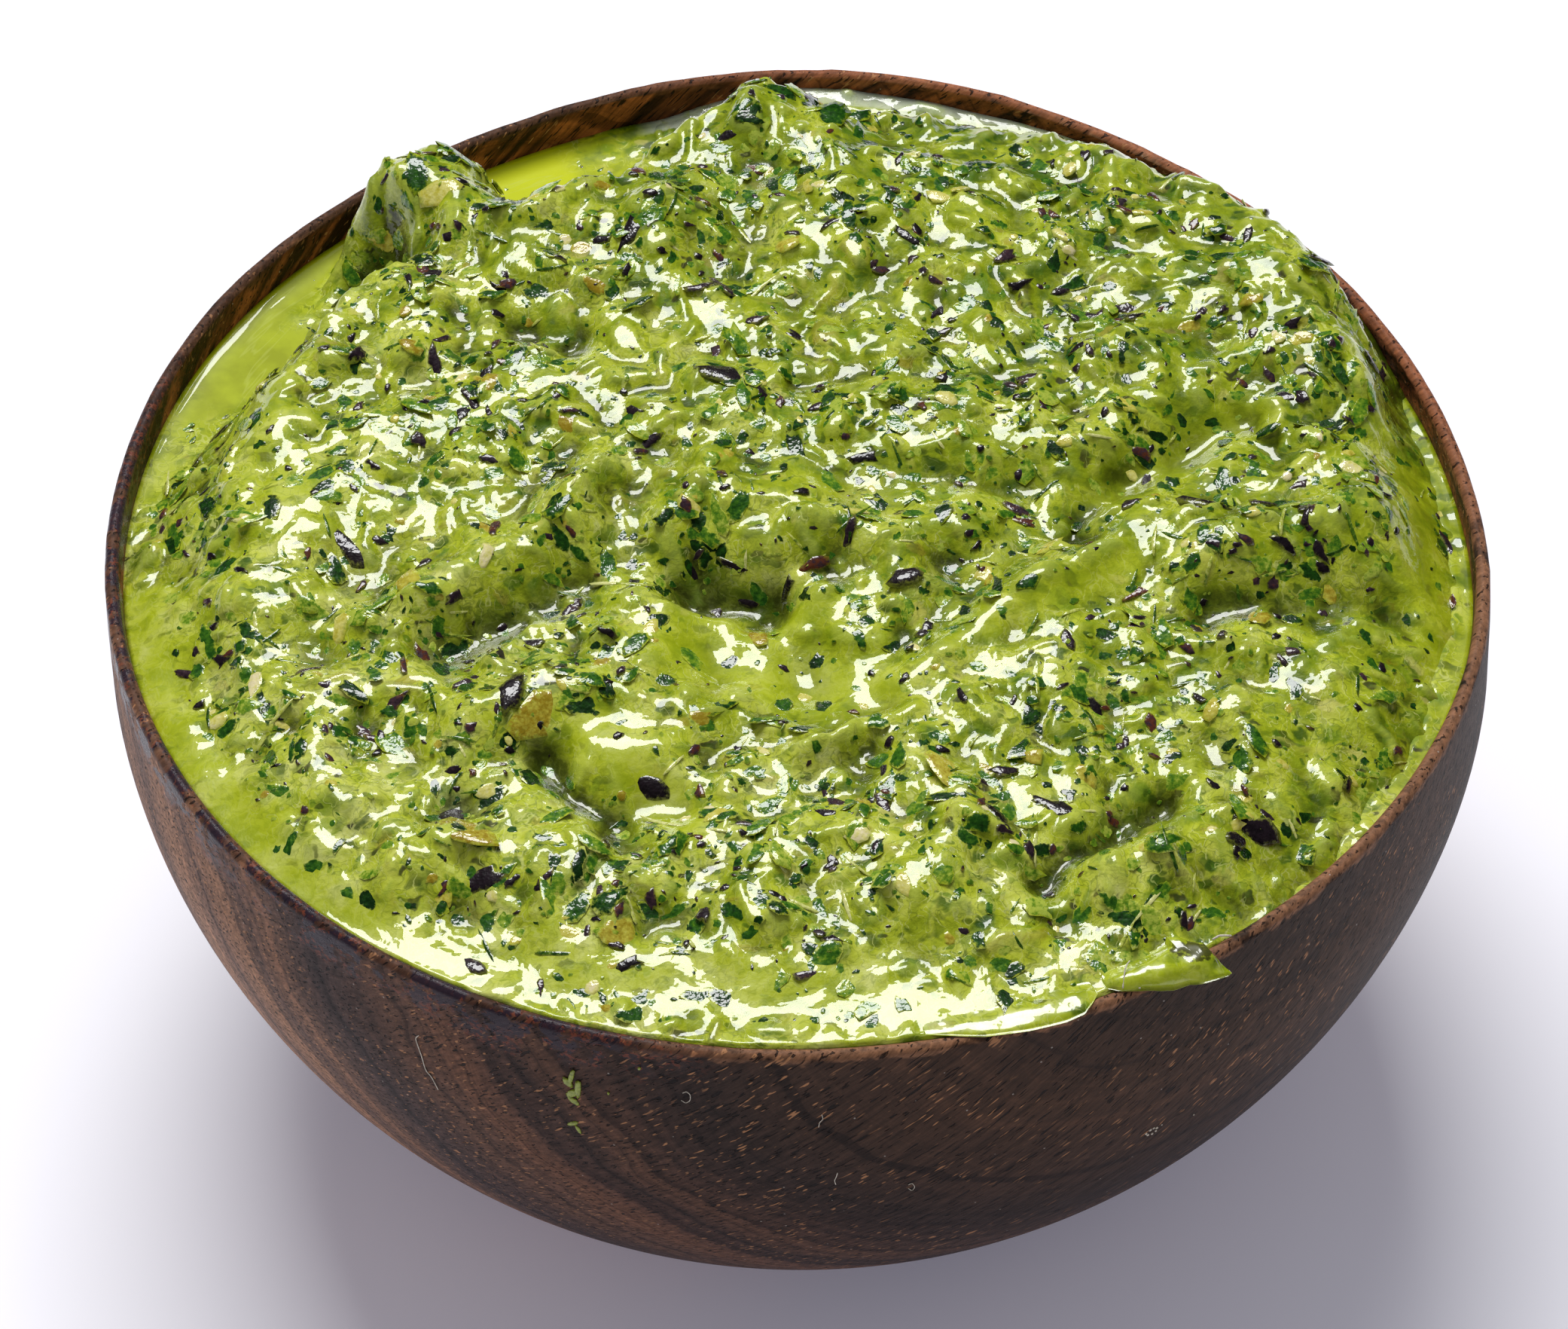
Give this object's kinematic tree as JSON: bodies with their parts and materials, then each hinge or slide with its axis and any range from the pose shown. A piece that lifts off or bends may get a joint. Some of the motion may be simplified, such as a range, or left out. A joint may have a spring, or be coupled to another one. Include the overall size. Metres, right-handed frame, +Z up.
{
  "type": "bowl of pesto",
  "caption": "Small turned wooden bowl heaped with coarse glossy green pesto, with oil round the edge and a lip of pesto over the rim.",
  "frame": {"origin": "centre of the bowl's flat foot, on the surface it rests on", "axes": "+Z up out of the bowl, +Y towards the far side of the heap, +X to the right as seen from the near side"},
  "size_m": [0.1116, 0.1124, 0.0634],
  "materials": {
    "wood": "worn satin varnish over dark grain",
    "pesto": "wet, oily and coarse, with dark leaf and olive flakes",
    "oil": "clear glossy oil, yellow-green"
  },
  "bodies": {
    "root": {"bowl": "wood", "pesto": "pesto", "oil_ring": "oil", "oil_pool": "oil"}
  },
  "joints": []
}
